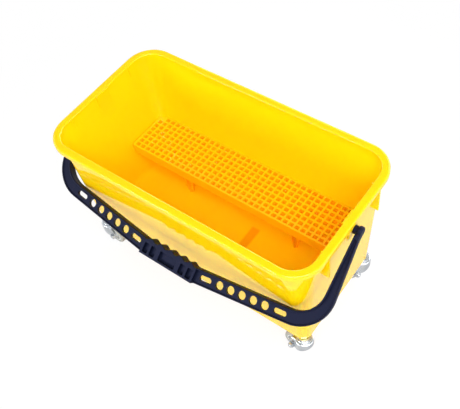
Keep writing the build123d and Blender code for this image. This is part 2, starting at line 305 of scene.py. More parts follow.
class Wire:
    """An output socket of a node tree; sums and products of wires add Math nodes."""

    def __init__(self, tree, socket=None):
        self.tree = tree
        self.socket = socket

    def node(self, kind, settings=None, inputs=None, output=0):
        """New node: its settings first, then the values or wires of its sockets."""
        made = self.tree.nodes.new(kind)
        for name, value in (settings or {}).items():
            setattr(made, name, value)
        for name, value in (inputs or {}).items():
            if isinstance(value, Wire):
                self.tree.links.new(value.socket, made.inputs[name])
            else:
                made.inputs[name].default_value = value
        return Wire(self.tree, made.outputs[output] if made.outputs else None)

    def maths(self, operation, a, b=0.0, clamp=False):
        settings = {"operation": operation, "use_clamp": clamp}
        return self.node("ShaderNodeMath", settings, {0: a, 1: b})

    def __add__(self, other):
        return self.maths("ADD", self, other)

    def __radd__(self, other):
        return self.maths("ADD", other, self)

    def __sub__(self, other):
        return self.maths("SUBTRACT", self, other)

    def __rsub__(self, other):
        return self.maths("SUBTRACT", other, self)

    def __mul__(self, other):
        return self.maths("MULTIPLY", self, other)

    def __rmul__(self, other):
        return self.maths("MULTIPLY", other, self)

    def __truediv__(self, other):
        return self.maths("DIVIDE", self, other)

    def __rtruediv__(self, other):
        return self.maths("DIVIDE", other, self)

    def clamp(self):
        return self.maths("ADD", self, 0.0, clamp=True)

    def between(self, low, high):
        """0 below low, 1 above high and smooth between."""
        span = {0: self, 1: low, 2: high, 3: 0.0, 4: 1.0}
        return self.node("ShaderNodeMapRange", {"interpolation_type": "SMOOTHSTEP"}, span)


def finish(name, base, **fixed):
    """New material on the Principled shader, with the values that are the same all over."""
    material = bpy.data.materials.new(name)
    material.use_nodes = True
    tree = material.node_tree
    shader = tree.nodes["Principled BSDF"]
    shader.inputs["Base Color"].default_value = (*base, 1)
    material.diffuse_color = (*base, 1)
    for key, value in fixed.items():
        shader.inputs[key.replace("_", " ")].default_value = value

    def feed(socket, wire):
        tree.links.new(wire.socket, shader.inputs[socket])

    return material, Wire(tree), feed


def object_place(root):
    """Object coordinates as a wire."""
    return root.node("ShaderNodeTexCoord", output="Object")


def axis(root, where, name):
    """One coordinate of a place, as a wire."""
    return root.node("ShaderNodeSeparateXYZ", inputs={0: where}, output=name)


def noise(root, where, scale, detail=3.0, rough=0.5):
    inputs = {"Vector": where, "Scale": scale, "Detail": detail, "Roughness": rough}
    return root.node("ShaderNodeTexNoise", inputs=inputs)


def blend(root, factor, first, second):
    """Mix of two colours, each of them a wire or a plain colour."""
    first, second = (tone if isinstance(tone, Wire) else (*tone, 1) for tone in (first, second))
    inputs = {0: factor, 6: first, 7: second}
    return root.node("ShaderNodeMix", {"data_type": "RGBA"}, inputs, output=2)


def bump(root, height, strength, depth):
    inputs = {"Strength": strength, "Distance": depth, "Height": height}
    return root.node("ShaderNodeBump", inputs=inputs)


def within(wire, low, high, soft):
    """1 between two values, falling to 0 outside them."""
    return wire.between(low - soft, low + soft) * (1 - wire.between(high - soft, high + soft))


def moulded(name, light, deep, roughness, grain, grain_depth, scuff, **fixed):
    """Injection-moulded plastic: faint flow mottling, fine skin grain and a little scuffing."""
    material, root, feed = finish(name, light, **fixed)
    where = object_place(root)
    flow = noise(root, where, scale=7.0, detail=2.0)
    skin = noise(root, where, scale=grain, detail=2.0)
    wear = noise(root, where, scale=55.0, detail=5.0, rough=0.65).between(0.56, 0.74)
    tone = blend(root, flow.between(0.3, 0.7), light, deep)
    feed("Base Color", tone)
    feed("Roughness", (0.85 + flow * 0.3) * roughness + wear * scuff)
    feed("Normal", bump(root, skin, strength=0.06, depth=grain_depth))
    return material, root, feed, tone


def inside_tub(root, x, y, height):
    """1 on the tub's inner faces and 0 on its outer ones, from how far they lie within its outline; it
    places the painted light of the inside.
    """
    sink = (RIM_Z * MM - height) / ((RIM_Z - BASE_Z) * MM)
    corner = (RIM_CORNER - LIP_REACH) * MM - sink * ((RIM_CORNER - LIP_REACH - BASE_CORNER) * MM)
    half_x = (RIM_HALF_X - LIP_REACH) * MM - sink * (END_LEAN * MM)
    half_y = (RIM_HALF_Y - LIP_REACH) * MM - sink * (SIDE_LEAN * MM)
    over_x = root.maths("MAXIMUM", root.maths("ABSOLUTE", x) - half_x + corner, 0.0)
    over_y = root.maths("MAXIMUM", root.maths("ABSOLUTE", y) - half_y + corner, 0.0)
    depth = corner - root.maths("SQRT", over_x * over_x + over_y * over_y)
    above_floor = height.between((FLOOR_Z - 2.0) * MM, (FLOOR_Z - 1.2) * MM)
    below_rim = 1 - height.between((RIM_Z - 6.0) * MM, (RIM_Z - 1.0) * MM)
    return depth.between(0.3 * WALL * MM, 0.7 * WALL * MM) * above_floor * below_rim


def floor_strip(x, y, height):
    """1 on the shallow strip in the tub's floor, fading out at its sides."""
    soft = 3.0 * MM
    along = within(x, STRIP_LEFT * MM, STRIP_RIGHT * MM, soft)
    across = within(y, STRIP_FRONT * MM, STRIP_BACK * MM, soft)
    below_wall = 1 - height.between((FLOOR_Z + 2.0) * MM, (FLOOR_Z + 8.0) * MM)
    above_base = height.between((BASE_Z + 0.5) * MM, (BASE_Z + 1.5) * MM)
    return along * across * below_wall * above_base


def tub_finish():
    """Glossy yellow that lets some light through, deeper in the strip of the floor, and with painted light
    inside: the inner faces are painted a lighter yellow that stands in for light brightening the inside.
    """
    # painted light: the first tone is a lighter yellow for the inner faces that stands in for light
    # brightening the inside; the second is the deeper tone of the floor strip
    inner, strip_tone = (1.0, 0.67, 0.003), (0.86, 0.42, 0.001)
    material, root, feed, tone = moulded(
        "tub_yellow",
        light=(1.0, 0.62, 0.003),
        deep=(1.0, 0.605, 0.003),
        roughness=0.012,
        grain=60.0,
        grain_depth=0.00003,
        scuff=0.004,
        IOR=1.46,
        Subsurface_Weight=0.55,
        Subsurface_Radius=(1.0, 0.6, 0.02),
        Subsurface_Scale=0.012,
    )
    where = object_place(root)
    x, y, height = (axis(root, where, name) for name in "XYZ")
    # painted light on the inner faces, blended in over the plastic's own mottled tone
    with_painted_inside_light = blend(root, inside_tub(root, x, y, height), tone, inner)
    feed("Base Color", blend(root, floor_strip(x, y, height), with_painted_inside_light, strip_tone))
    return material


def sieve_finish():
    """The same yellow as a thin moulding with less gloss."""
    return moulded(
        "sieve_yellow",
        light=(1.0, 0.60, 0.003),
        deep=(1.0, 0.585, 0.003),
        roughness=0.16,
        grain=420.0,
        grain_depth=0.0001,
        scuff=0.06,
        IOR=1.46,
    )[0]


def handle_finish():
    """Satin navy, nearly black, with a bluish gloss."""
    return moulded(
        "handle_navy",
        light=(0.003, 0.005, 0.0155),
        deep=(0.0022, 0.0038, 0.0125),
        roughness=0.5,
        grain=900.0,
        grain_depth=0.0001,
        scuff=0.10,
        IOR=1.45,
        Specular_IOR_Level=0.38,
        Specular_Tint=(0.47, 0.5, 0.95, 1),
    )[0]


def zinc_plate():
    """Bright zinc plating with drifts of passivation colour and fine rolling marks."""
    material, root, feed = finish("bright_zinc", (0.6, 0.62, 0.64), Metallic=1.0)
    where = object_place(root)
    drift = noise(root, where, scale=60.0)
    mark = noise(root, where, scale=900.0)
    feed("Base Color", blend(root, drift.between(0.35, 0.7), (0.71, 0.74, 0.77), (0.54, 0.57, 0.61)))
    feed("Roughness", 0.2 + drift * 0.14 + mark * 0.05)
    feed("Normal", bump(root, mark, strength=0.08, depth=0.0002))
    return material


def grained_darker_low(name, light, deep, roughness, grain):
    """Rubber or plain plastic with fine grain, mottled, and darker low down near the floor."""
    material, root, feed = finish(name, light)
    where = object_place(root)
    height = axis(root, where, "Z")
    cloud = noise(root, where, scale=120.0, detail=4.0)
    skin = noise(root, where, scale=grain, detail=2.0)
    # darker towards the bottom: the colour moves to the deeper tone within about 30 mm of the floor
    low_darkening = (1 - height.between(0.004, 0.03)) * cloud
    feed("Base Color", blend(root, (cloud * 0.6 + low_darkening * 0.4).clamp(), light, deep))
    feed("Roughness", roughness + cloud * 0.12)
    feed("Normal", bump(root, skin, strength=0.25, depth=0.0003))
    return material


YELLOW = tub_finish()
SIEVE_YELLOW = sieve_finish()
NAVY = handle_finish()
ZINC = zinc_plate()
NYLON = grained_darker_low("washer_nylon", (0.09, 0.09, 0.1), (0.06, 0.06, 0.07), roughness=0.45, grain=700.0)
HUB_GREY = grained_darker_low("hub_grey", (0.62, 0.64, 0.64), (0.52, 0.53, 0.52), roughness=0.4, grain=600.0)
TYRE_GREY = grained_darker_low("tyre_grey", (0.42, 0.43, 0.39), (0.33, 0.34, 0.31), roughness=0.55, grain=800.0)


def geometry_tree(name, sizes):
    """Empty geometry tree with a named input for each size."""
    tree = bpy.data.node_groups.new(name, "GeometryNodeTree")
    tree.interface.new_socket("Geometry", in_out="INPUT", socket_type="NodeSocketGeometry")
    tree.interface.new_socket("Geometry", in_out="OUTPUT", socket_type="NodeSocketGeometry")
    for label, value in sizes.items():
        kind = "NodeSocketInt" if isinstance(value, int) else "NodeSocketFloat"
        tree.interface.new_socket(label, in_out="INPUT", socket_type=kind)
    entry = tree.nodes.new("NodeGroupInput")
    size = {socket.name: Wire(tree, socket) for socket in entry.outputs if socket.name}
    return Wire(tree), size


def grow(obj, root, geometry, sizes, material):
    """End a tree, run it on the object with its sizes, and keep the plain mesh."""
    tree = root.tree
    real = root.node("GeometryNodeRealizeInstances", inputs={0: geometry})
    painted = root.node("GeometryNodeSetMaterial", inputs={"Geometry": real, "Material": material})
    leave = tree.nodes.new("NodeGroupOutput")
    tree.links.new(painted.socket, leave.inputs[0])
    run = obj.modifiers.new(tree.name, "NODES")
    run.node_group = tree
    for item in tree.interface.items_tree:
        if item.in_out == "INPUT" and item.name in sizes:
            run[item.identifier] = sizes[item.name]
    return freeze(obj)


def vector(root, x=0.0, y=0.0, z=0.0):
    return root.node("ShaderNodeCombineXYZ", inputs={0: x, 1: y, 2: z})


def joined(root, first, *others):
    """All the given pieces of geometry as one."""
    whole = root.node("GeometryNodeJoinGeometry", inputs={0: first})
    for piece in others:
        root.tree.links.new(piece.socket, whole.socket.node.inputs[0])
    return whole


def spots_in_line(root, count, first, pitch):
    """Points in a line along X."""
    inputs = {"Count": count, "Start Location": vector(root, first), "Offset": vector(root, pitch)}
    return root.node("GeometryNodeMeshLine", inputs=inputs)


def rounded_curve(root, width, height, steps, radius):
    """Rectangle with rounded corners as a curve."""
    inputs = {"Width": width, "Height": height}
    sharp = root.node("GeometryNodeCurvePrimitiveQuadrilateral", inputs=inputs)
    inputs = {"Curve": sharp, "Count": steps, "Radius": radius}
    return root.node("GeometryNodeFilletCurve", {"mode": "POLY"}, inputs)


# Tub: rings up the inside, over the rim, under the lip and down the outside

BOSS_HALF, BOSS_REACH, BOSS_STRAIGHT, BOSS_HEIGHT, BOSS_EDGE = 14.0, 9.5, 36.0, 68.0, 0.9
RIB_Y, RIB_HALF, RIB_HEIGHT, RIB_INSET, RIB_EDGE = 70.5, 1.5, 61.0, 0.25, 0.5
SOCKET_R, SOCKET_PAST = 7.08, 4.0
CASTOR_X, CASTOR_Y = 224.0, 94.0
POST_R, POST_FOOT, POST_TOP, POST_EDGE = 7.7, BASE_Z + 0.6, 85.2, 1.2
BORE_R, BORE_TOP, BORE_PAST = 4.5, 82.0, 2.0
HALF_TURN = Matrix.Rotation(pi, 4, "Z")
LIE_X = Matrix.Rotation(pi / 2, 4, "Y")


def tub_size(z, inset):
    """Half length, half width and corner radius of the outer wall at a height, drawn in by inset."""
    rise = (z - BASE_Z) / (RIM_Z - BASE_Z)
    half_x = RIM_HALF_X - LIP_REACH - END_LEAN * (1 - rise) - inset
    half_y = RIM_HALF_Y - LIP_REACH - SIDE_LEAN * (1 - rise) - inset
    corner = BASE_CORNER + (RIM_CORNER - LIP_REACH - BASE_CORNER) * rise - inset
    return half_x, half_y, corner


WALL_AT_PIVOT = tub_size(PIVOT_Z, 0)[0]
BOSS_FACE = WALL_AT_PIVOT + BOSS_REACH


def tub_ring(z, inset):
    half_x, half_y, corner = tub_size(z, inset)
    return raised(rounded(half_x, -half_y, half_y, corner, corner), z)


def rim_ring(inset, z):
    half_y, corner = RIM_HALF_Y - inset, RIM_CORNER - inset
    return raised(rounded(RIM_HALF_X - inset, -half_y, half_y, corner, corner), z)


def tub_floor(edge):
    """Inner floor with its shallow strip, sewn to the walls along the given ring."""
    strip = [
        (STRIP_LEFT, STRIP_FRONT),
        (STRIP_RIGHT, STRIP_FRONT),
        (STRIP_RIGHT, STRIP_BACK),
        (STRIP_LEFT, STRIP_BACK),
    ]
    flat = place(filled("flat", [[(x, y) for x, y, z in edge], strip]), mm_at(0, 0, FLOOR_Z))
    left, right = STRIP_LEFT + STRIP_SLOPE, STRIP_RIGHT - STRIP_SLOPE
    front, back = STRIP_FRONT + STRIP_SLOPE, STRIP_BACK - STRIP_SLOPE
    sunk = [(left, front), (right, front), (right, back), (left, back)]
    dip = lofted("dip", [raised(strip, FLOOR_Z), raised(sunk, FLOOR_Z - STRIP_DEPTH)], first_cap=False)
    return join("floor", [flat, dip])


def tub_shell():
    """Walls, rim and floor. Beside each rounding an extra ring holds the next face straight."""
    floor_round, mouth_round, rim_round, lip_round, base_round = 7.0, 2.4, 3.0, 0.8, 3.0
    floor_hold, mouth_hold, rim_hold, lip_hold, wall_hold, base_hold = 5.0, 3.0, 0.8, 1.0, 1.5, 4.0
    base_flat = 8.0
    rings = []
    for a in quarter(6):
        rings.append(tub_ring(FLOOR_Z + floor_round * (1 - cos(a)), WALL + floor_round * (1 - sin(a))))
    rings.append(tub_ring(FLOOR_Z + floor_round + floor_hold, WALL))
    rings.append(tub_ring(RIM_Z - mouth_round - mouth_hold, WALL))
    for a in quarter(5):
        rings.append(tub_ring(RIM_Z - mouth_round * (1 - sin(a)), WALL - mouth_round * (1 - cos(a))))
    rings.append(tub_ring(RIM_Z, WALL - mouth_round - rim_hold))
    rings.append(rim_ring(rim_round + rim_hold, RIM_Z))
    for a in quarter(6):
        rings.append(rim_ring(rim_round * (1 - sin(a)), RIM_Z - rim_round * (1 - cos(a))))
    rings.append(rim_ring(0, RIM_Z - rim_round - rim_hold))
    lip_foot = RIM_Z - LIP_DROP
    for a in quarter(3):
        rings.append(rim_ring(lip_round * (1 - cos(a)), lip_foot + lip_round * (1 - sin(a))))
    for a in quarter(3):
        rings.append(rim_ring(WALL - lip_round * (1 - sin(a)), lip_foot + lip_round * (1 - cos(a))))
    under = RIM_Z - WALL
    rings.append(rim_ring(WALL, under - lip_hold))
    rings.append(rim_ring(WALL, under))
    rings.append(tub_ring(under, 0))
    rings.append(tub_ring(under - wall_hold, 0))
    rings.append(tub_ring(BASE_Z + base_round + base_hold, 0))
    for a in quarter(5):
        rings.append(tub_ring(BASE_Z + base_round * (1 - sin(a)), base_round * (1 - cos(a))))
    rings.append(tub_ring(BASE_Z, base_round + base_flat))
    walls = lofted("walls", rings, first_cap=False)
    return tidy(join("tub_body", [walls, tub_floor(rings[0])]))


def end_fittings(turn):
    """Pivot boss and the two ribs of one end, rooted in the wall and the rim."""
    boss_foot, rib_foot, top = RIM_Z - BOSS_HEIGHT, RIM_Z - RIB_HEIGHT, RIM_Z - WALL / 2
    foot_x = tub_size(boss_foot, 0)[0]
    inside = foot_x - WALL / 2
    points = []
    for side in (-BOSS_HALF, BOSS_HALF):
        for x in (inside, BOSS_FACE):
            points += [(x, side, top), (x, side, RIM_Z - BOSS_STRAIGHT)]
    points += [(inside, 0, boss_foot), (foot_x, 0, boss_foot)]
    made = [bevel(hull("boss", points), BOSS_EDGE, steps=3, angle=20)]
    rib_in, rib_out = tub_size(rib_foot, WALL / 2)[0], RIM_HALF_X - RIB_INSET
    for y in (-RIB_Y, RIB_Y):
        rib = box("rib", (rib_in, y - RIB_HALF, rib_foot), (rib_out, y + RIB_HALF, top))
        made.append(bevel(rib, RIB_EDGE))
    return [place(obj, turn) for obj in made]


def build_tub():
    tub = tub_shell()
    for turn in (Matrix.Identity(4), HALF_TURN):
        for fitting in end_fittings(turn):
            combine(tub, fitting)
        socket = cylinder("socket", SOCKET_R, WALL_AT_PIVOT, BOSS_FACE + SOCKET_PAST)
        combine(tub, place(socket, turn @ mm_at(0, 0, PIVOT_Z) @ LIE_X), "DIFFERENCE")
    for side_x in (-1, 1):
        for side_y in (-1, 1):
            at = mm_at(side_x * CASTOR_X, side_y * CASTOR_Y, 0)
            post = lathe("post", soften(rod(POST_R, POST_FOOT, POST_TOP), POST_EDGE))
            combine(tub, place(post, at))
            bore = cylinder("bore", BORE_R, BASE_Z - BORE_PAST, BORE_TOP)
            combine(tub, place(bore, at), "DIFFERENCE")
    return settle(tub, "tub", "tub_plastic", YELLOW, "tub")


build_tub()


# Handle: laid out flat, s along the crossbar and t away from the pivot line, then hung

HANG = radians(36.9)
ARM_IN, ARM_WIDTH, ARM_FLARE = BOSS_FACE + 5.5, 7.7, 0.084
BAR_WIDTH, BAR_IN_SLOPE, BAR_OUT_SLOPE = 27.1, 0.1166, 0.129
BEND_IN, BEND_OUT = 45.0, 60.0
WEB_HALF, IN_HALF, OUT_HALF, FLANGE = 3.0, 8.0, 4.8, 3.2
WEB_INSET, WEB_START, IN_START, OUT_START = 1.2, 9.0, 7.0, 8.0
IN_EDGE, OUT_EDGE = 1.4, 1.5
WALL_GAP = 0.8
SIDE_SLOPE = SIDE_LEAN / (RIM_Z - BASE_Z)
TOUCH = (tub_size(PIVOT_Z, 0)[1] + WALL_GAP + IN_HALF * (sin(HANG) - SIDE_SLOPE * cos(HANG))) / (
    cos(HANG) + SIDE_SLOPE * sin(HANG)
)
TOUCH_X, _, TOUCH_CORNER = tub_size(PIVOT_Z - TOUCH * sin(HANG), 0)
BAR_IN = TOUCH + BAR_IN_SLOPE * (TOUCH_X - TOUCH_CORNER)
BAR_OUT = BAR_IN + BAR_WIDTH
GRIP_HALF, GRIP_THICK, GRIP_WIDTH, GRIP_EDGE = 55.0, 9.5, 26.6, 0.9
RIDGES, RIDGE_PITCH, RIDGE_STEPS = 5, 20.5, 8
RIDGE, VALLEY = BAR_IN - 9.6, BAR_IN - 5.5
GRIP_OUT = VALLEY + GRIP_WIDTH
CORE_INSET, CORE_EDGE = 1.5, 0.2
POCKET_HIGH = GRIP_OUT - 4.2
POCKET_LOW = POCKET_HIGH - 16.5
POCKET_CORNER, POCKET_STEPS = 1.6, 3
POCKETS = [(0.0, 34.0), (-30.75, 10.5), (-45.5, 10.0), (30.75, 10.5), (45.5, 10.0)]
EYE_R, EYE_EDGE, PIN_R, PIN_REACH, PIN_ROOT, PIN_EDGE = 9.0, 3.2, 7.0, 15.5, 3.0, 0.8
ARM_END_LOW, ARM_END_HIGH, ARM_END_HALF, ARM_END_EDGE = 1.0, 14.0, 7.4, 2.2
HANDLE_PLACE = mm_at(0, 0, PIVOT_Z) @ Matrix.Rotation(HANG, 4, "X")


def turned_corner(before, corner, after, radius, steps=12):
    """Arc of the given radius that rounds a corner of a flat path."""
    corner = Vector(corner)
    u = (Vector(before) - corner).normalized()
    v = (Vector(after) - corner).normalized()
    half = u.angle(v) / 2
    middle = corner + (u + v).normalized() * radius / sin(half)
    start = corner + u * radius / tan(half) - middle
    stop = corner + v * radius / tan(half) - middle
    sweep = start.angle_signed(stop)
    arc = []
    for step in range(steps + 1):
        a = -sweep * step / steps
        s = middle.x + start.x * cos(a) - start.y * sin(a)
        t = middle.y + start.x * sin(a) + start.y * cos(a)
        arc.append((s, t))
    return arc


def bail_edge(inset, start, outer):
    """Inner or outer edge of the bail from its left end to its right end, drawn in by inset."""
    if outer:
        side = ARM_IN + ARM_WIDTH - inset
        bend_s = (side + ARM_FLARE * (BAR_OUT - inset)) / (1 + ARM_FLARE * BAR_OUT_SLOPE)
        bend = (bend_s, BAR_OUT - BAR_OUT_SLOPE * bend_s - inset)
        middle, end, radius = (0.0, BAR_OUT - inset), (side + ARM_FLARE * start, start), BEND_OUT - inset
    else:
        side = ARM_IN + inset
        bend = (side, BAR_IN - BAR_IN_SLOPE * side + inset)
        middle, end, radius = (0.0, BAR_IN + inset), (side, start), BEND_IN + inset
    right = [middle] + turned_corner(middle, bend, end, radius) + [end]
    return [(-s, t) for s, t in reversed(right[1:])] + right


def band(near, far):
    """Closed outline between two edges that run the same way."""
    return near + list(reversed(far))


def plate(name, outlines, half, edge):
    """Flat outlines of the layout, the later ones as holes, as a plate with rounded edges."""
    return tidy(filled(name, [[(s, -t) for s, t in outline] for outline in outlines], half, edge))


def pierced_web():
    """Web of the bail with its row of round holes and the two slots on each side."""
    outline = band(bail_edge(WEB_INSET, WEB_START, False), bail_edge(WEB_INSET, WEB_START, True))
    mesh = bpy.data.meshes.new("web")
    count = len(outline)
    edges = [(i, (i + 1) % count) for i in range(count)]
    mesh.from_pydata([(s * MM, -t * MM, 0) for s, t in outline], edges, [])
    web = link("web", mesh)
    sizes = {
        "Hole Count": 5,
        "Hole First": 100.0 * MM,
        "Hole Pitch": 20.4 * MM,
        "Hole Radius": 7.2 * MM,
        "Slot Near": 74.0 * MM,
        "Slot Far": 208.0 * MM,
        "Slot Length": 22.5 * MM,
        "Slot Height": 9.0 * MM,
        "Row Reach": (BAR_IN + BAR_OUT) / 2 * MM,
        "Row Slope": (BAR_IN_SLOPE + BAR_OUT_SLOPE) / 2,
        "Thickness": 2 * WEB_HALF * MM,
    }
    root, size = geometry_tree("pierced_web", sizes)

    def row(count, first, pitch, shape):
        """Shapes along the middle of one side of the crossbar, turned with its slope."""
        line = spots_in_line(root, count, first, pitch)
        along = axis(root, root.node("GeometryNodeInputPosition"), "X")
        spot = vector(root, along, along * size["Row Slope"] - size["Row Reach"])
        seated = root.node("GeometryNodeSetPosition", inputs={"Geometry": line, "Position": spot})
        lean = vector(root, 0.0, 0.0, root.maths("ARCTANGENT", size["Row Slope"]))
        inputs = {"Points": seated, "Instance": shape, "Rotation": lean}
        return root.node("GeometryNodeInstanceOnPoints", inputs=inputs)

    inputs = {"Resolution": 36, "Radius": size["Hole Radius"]}
    round_hole = root.node("GeometryNodeCurvePrimitiveCircle", inputs=inputs)
    slot_end = size["Slot Height"] * 0.4999
    slot = rounded_curve(root, size["Slot Length"], size["Slot Height"], steps=9, radius=slot_end)
    holes = row(size["Hole Count"], size["Hole First"], size["Hole Pitch"], round_hole)
    slots = row(2, size["Slot Near"], size["Slot Far"] - size["Slot Near"], slot)
    one_side = root.node("GeometryNodeRealizeInstances", inputs={0: joined(root, holes, slots)})
    other = root.node("GeometryNodeTransform", inputs={"Geometry": one_side, "Scale": (-1, 1, 1)})
    edge = root.node("GeometryNodeMeshToCurve", inputs={0: size["Geometry"]})
    curves = joined(root, edge, one_side, other)
    sheet = root.node("GeometryNodeFillCurve", {"mode": "NGONS"}, {"Curve": curves})
    inputs = {
        "Mesh": sheet,
        "Offset": vector(root, 0, 0, 1),
        "Offset Scale": size["Thickness"],
        "Individual": False,
    }
    upper = root.node("GeometryNodeExtrudeMesh", {"mode": "FACES"}, inputs)
    lower = root.node("GeometryNodeFlipFaces", inputs={0: sheet})
    sink = vector(root, 0, 0, size["Thickness"] * -0.5)
    inputs = {"Geometry": joined(root, upper, lower), "Translation": sink}
    centred = root.node("GeometryNodeTransform", inputs=inputs)
    return tidy(grow(web, root, centred, sizes, NAVY))


def grip_outline(inset):
    """Outline of the grip, its finger-ridged edge as a smooth run of points."""
    end = RIDGES / 2 * RIDGE_PITCH
    middle, swing = (RIDGE + VALLEY) / 2, (VALLEY - RIDGE) / 2
    side, out = GRIP_HALF - inset, GRIP_OUT - inset
    run = [(-side, VALLEY + inset)]
    for i in range(RIDGES * RIDGE_STEPS + 1):
        s = -end + i * RIDGE_PITCH / RIDGE_STEPS
        run.append((s, middle + swing * cos(2 * pi * i / RIDGE_STEPS) + inset))
    return run + [(side, VALLEY + inset), (side, out), (-side, out)]


def pocket(centre, width):
    """Rounded outline of one pocket of the grip."""
    outline = rounded(width / 2, POCKET_LOW, POCKET_HIGH, POCKET_CORNER, POCKET_CORNER, POCKET_STEPS)
    return [(centre + s, t) for s, t in outline]


def arm_end(side):
    """Block, eye and pin at the end of one arm."""
    width = ARM_WIDTH + ARM_FLARE * EYE_R
    low, high = sorted((side * ARM_IN, side * (ARM_IN + width)))
    block = [(low, ARM_END_LOW), (high, ARM_END_LOW), (high, ARM_END_HIGH), (low, ARM_END_HIGH)]
    made = [plate("arm_block", [block], ARM_END_HALF, ARM_END_EDGE)]
    eye = lathe("eye", soften(rod(EYE_R, 0, width), EYE_EDGE, steps=6), steps=40)
    pin = lathe("pin", soften(rod(PIN_R, -PIN_REACH, PIN_ROOT), PIN_EDGE), steps=40)
    at = Matrix.Translation((side * ARM_IN * MM, 0, 0)) @ Matrix.Rotation(side * pi / 2, 4, "Y")
    return made + [place(eye, at), place(pin, at)]


def build_handle():
    inner = band(bail_edge(0, IN_START, False), bail_edge(FLANGE, IN_START, False))
    outer = band(bail_edge(FLANGE, OUT_START, True), bail_edge(0, OUT_START, True))
    handle = plate("inner_flange", [inner], IN_HALF, IN_EDGE)
    combine(handle, pierced_web())
    combine(handle, plate("outer_flange", [outer], OUT_HALF, OUT_EDGE))
    clear, deep = GRIP_HALF - 0.6, 20
    bar = box("clear_bar", (-clear, -BAR_OUT - 2, -deep), (clear, -RIDGE, deep))
    combine(handle, bar, "DIFFERENCE")
    grip = [grip_outline(0)] + [pocket(centre, width) for centre, width in POCKETS]
    parts = [
        plate("grip", grip, GRIP_THICK, GRIP_EDGE),
        plate("grip_core", [grip_outline(CORE_INSET)], WEB_HALF, CORE_EDGE),
    ]
    for part in parts + arm_end(-1) + arm_end(1):
        combine(handle, part)
    handle.name = "carry_handle"
    return settle(place(handle, HANDLE_PLACE), "handle", "handle_plastic", NAVY, "handle")


build_handle()


# Sieve: skirted shelf with a mesh of square holes, on four cruciform legs

SIEVE_TOP, SIEVE_SHIFT = FLOOR_Z + 95.3, -3.0
END_GAP, BACK_GAP, SIEVE_WIDTH = 6.4, 0.6, 89.4
SIEVE_HALF = tub_size(SIEVE_TOP, WALL)[0] - END_GAP
SIEVE_FRONT = tub_size(SIEVE_TOP, WALL)[1] - BACK_GAP - SIEVE_WIDTH
SIEVE_PLATE, SIEVE_SKIRT, SKIRT_WALL = 12.0, 22.0, 2.5
FRONT_CORNER, LEAST_CORNER, BACK_CORNER = 3.0, 0.5, 18.0
FOOT_EDGE, FOOT_HOLD, TOP_EDGE, TOP_HOLD = 0.5, 4.0, 0.8, 2.0
COLUMNS, ROWS, PITCH_X, PITCH_Y, HOLE_X, HOLE_Y = 38, 8, 11.9, 10.8, 8.4, 7.2
HOLE_CORNER, GROOVE_DEPTH = 1.0, 0.6
MESH_FRONT = SIEVE_FRONT + 3.6
MESH_BACK = MESH_FRONT + ROWS * PITCH_Y - (PITCH_Y - HOLE_Y)
MESH_MIDDLE = (MESH_FRONT + MESH_BACK) / 2
LEG_X, LEG_ROWS, LEG_HALF, LEG_EDGE = 120.0, (23.0, 69.0), 1.25, 0.4
LEG_FOOT, LEG_KNEE, LEG_TOP = FLOOR_Z + 0.2, FLOOR_Z + 30.0, SIEVE_TOP - SIEVE_PLATE + 0.3
LEG_SIDE = [(4.0, LEG_FOOT), (9.0, LEG_KNEE), (13.0, LEG_TOP)]


def sieve_ring(z, inset):
    """Outline of the shelf at a height: it follows the tub's leaning walls at the back and the ends."""
    back = tub_size(z, WALL)[1] - BACK_GAP - inset
    lean = tub_size(SIEVE_TOP, 0)[0] - tub_size(z, 0)[0]
    half, front = SIEVE_HALF - lean - inset, SIEVE_FRONT + inset
    front_corner = max(FRONT_CORNER - inset, LEAST_CORNER)
    return raised(rounded(half, front, back, front_corner, BACK_CORNER - inset), z)


def sieve_plate():
    """Skirted shelf before its mesh is cut."""
    foot, under = SIEVE_TOP - SIEVE_SKIRT, SIEVE_TOP - SIEVE_PLATE
    rings = [sieve_ring(foot, FOOT_EDGE), sieve_ring(foot + FOOT_EDGE, 0), sieve_ring(foot + FOOT_HOLD, 0)]
    rings.append(sieve_ring(SIEVE_TOP - TOP_EDGE - TOP_HOLD, 0))
    for a in quarter(4):
        rings.append(sieve_ring(SIEVE_TOP - TOP_EDGE * (1 - sin(a)), TOP_EDGE * (1 - cos(a))))
    solid = lofted("sieve_shelf", rings)
    hollow = [sieve_ring(foot - 1, SKIRT_WALL), sieve_ring(under, SKIRT_WALL)]
    return combine(solid, lofted("hollow", hollow), "DIFFERENCE")


def cutter(name, root, spots, shape, sizes, z, **only):
    """Cutter with a shape on every spot, at a height over the middle of the mesh."""
    inputs = {"Points": spots, "Instance": shape, **only}
    shapes = root.node("GeometryNodeInstanceOnPoints", inputs=inputs)
    made = grow(link(name, bpy.data.meshes.new(name)), root, shapes, sizes, SIEVE_YELLOW)
    return place(tidy(made), mm_at(0, MESH_MIDDLE, z))


